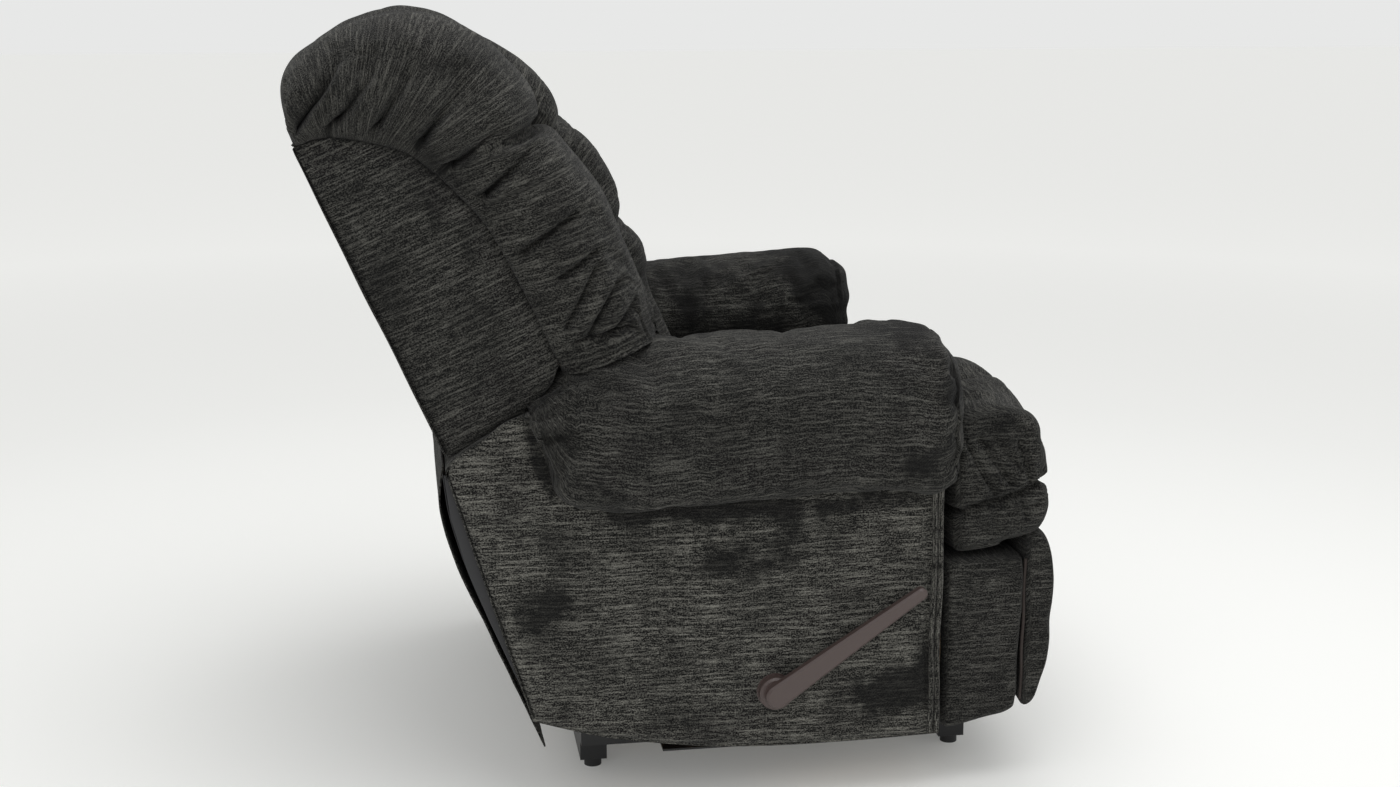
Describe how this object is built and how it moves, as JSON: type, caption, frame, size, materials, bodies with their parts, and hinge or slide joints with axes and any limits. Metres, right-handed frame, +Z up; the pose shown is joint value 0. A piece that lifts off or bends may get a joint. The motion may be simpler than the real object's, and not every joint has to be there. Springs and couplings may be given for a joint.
{
  "type": "rocker recliner armchair",
  "caption": "Overstuffed rocker recliner armchair in charcoal chenille with pillow back, rolled arms, side lever and a footrest that swings out on parallel links.",
  "frame": {"origin": "on the floor under the middle of the chair", "axes": "+Z up, the sitter faces -Y, +X to the sitter's left, lever at -X"},
  "size_m": [0.959, 1.0579, 1.118],
  "materials": {
    "chenille": "soft charcoal chenille with a slubbed rib",
    "flap_fabric": "charcoal chenille, single layer",
    "wood": "raw hardwood and plywood",
    "lever_wood": "dark brown satin",
    "black_steel": "black satin",
    "spring_steel": "oiled wire",
    "plastic": "matte black"
  },
  "bodies": {
    "base": {"base_front_rail": "black_steel", "base_rear_rail": "black_steel", "base_side_rails": "black_steel", "base_glides": "plastic", "base_end_caps": "plastic", "base_bolts": "black_steel", "spring_seats_lower": "black_steel", "rocker_springs": "spring_steel"},
    "chassis": {"rocker_blocks": "wood", "spring_seats_upper": "black_steel", "arm_frame_left": "wood", "arm_frame_right": "wood", "side_cover_left": "chenille", "side_cover_right": "chenille", "inner_arm_cover_left": "chenille", "inner_arm_cover_right": "chenille", "arm_front_cover_left": "chenille", "arm_front_cover_right": "chenille", "arm_pad_left": "chenille", "arm_pad_right": "chenille", "seat_frame": "wood", "seat_springs": "spring_steel", "seat_cushion": "chenille", "rear_rail": "wood", "rear_flap": "flap_fabric", "side_plate_left": "black_steel", "side_plate_right": "black_steel", "lever_rose": "black_steel"},
    "back": {"back_frame": "wood", "back_stub_rails": "wood", "back_wing_board_left": "wood", "back_wing_board_right": "wood", "back_side_cover_left": "chenille", "back_side_cover_right": "chenille", "back_rear_cover": "chenille", "back_springs": "spring_steel", "back_bracket_left": "black_steel", "back_bracket_right": "black_steel", "head_pillow_centre": "chenille", "head_pillow_left": "chenille", "head_pillow_right": "chenille", "back_pillow_middle": "chenille", "back_pillow_lower": "chenille", "wing_pillow_left": "chenille", "wing_pillow_right": "chenille"},
    "front_links": {"front_link_left": "black_steel", "front_link_right": "black_steel", "link_cross_tube": "black_steel"},
    "rear_links": {"rear_links": "black_steel"},
    "carrier_links": {"carrier_links": "black_steel"},
    "guide_links": {"guide_links": "black_steel"},
    "footrest": {"footrest_box": "chenille", "footrest_board": "wood", "footrest_pad": "chenille", "footrest_bracket_left": "black_steel", "footrest_bracket_right": "black_steel"},
    "lever": {"lever_shaft": "black_steel", "lever_hub": "black_steel", "lever_arm": "lever_wood"},
    "drive_link": {"drive_link": "black_steel"}
  },
  "joints": [
    {"name": "rock", "type": "hinge", "parent": "base", "child": "chassis", "pos_m": [0, -0.04, 0.064], "axis": [-1, 0, 0], "range_deg": [-4, 8], "stiffness_Nm_per_rad": 1500, "deforming": ["rocker_springs"]},
    {"name": "recline", "type": "hinge", "parent": "chassis", "child": "back", "pos_m": [0, 0.24, 0.35], "axis": [-1, 0, 0], "range_deg": [0, 35]},
    {"name": "footrest_swing", "type": "hinge", "parent": "chassis", "child": "front_links", "pos_m": [0, -0.3, 0.32], "axis": [-1, 0, 0], "range_deg": [0, 90]},
    {"name": "rear_link_swing", "type": "hinge", "parent": "chassis", "child": "rear_links", "pos_m": [0, -0.2, 0.32], "axis": [-1, 0, 0], "range_deg": [0, 90]},
    {"name": "carrier_hinge", "type": "hinge", "parent": "front_links", "child": "carrier_links", "pos_m": [0, -0.12322, 0.14322], "axis": [-1, 0, 0], "range_deg": [-90, 0]},
    {"name": "guide_hinge", "type": "hinge", "parent": "front_links", "child": "guide_links", "pos_m": [0, -0.15858, 0.17858], "axis": [-1, 0, 0], "range_deg": [-90, 0]},
    {"name": "footrest_hinge", "type": "hinge", "parent": "carrier_links", "child": "footrest", "pos_m": [0, -0.322, 0.29], "axis": [-1, 0, 0], "range_deg": [0, 90]},
    {"name": "lever_turn", "type": "hinge", "parent": "chassis", "child": "lever", "pos_m": [0, -0.118, 0.168], "axis": [-1, 0, 0], "range_deg": [0, 90]},
    {"name": "drive_hinge", "type": "hinge", "parent": "lever", "child": "drive_link", "pos_m": [0, -0.0685, 0.1185], "axis": [-1, 0, 0], "range_deg": [-90, 0]}
  ],
  "couplings": [
    {"joint": "rear_link_swing", "follows": "footrest_swing", "ratio": 1},
    {"joint": "carrier_hinge", "follows": "footrest_swing", "ratio": -1},
    {"joint": "guide_hinge", "follows": "footrest_swing", "ratio": -1},
    {"joint": "footrest_hinge", "follows": "footrest_swing", "ratio": 1},
    {"joint": "lever_turn", "follows": "footrest_swing", "ratio": 1},
    {"joint": "drive_hinge", "follows": "footrest_swing", "ratio": -1}
  ]
}
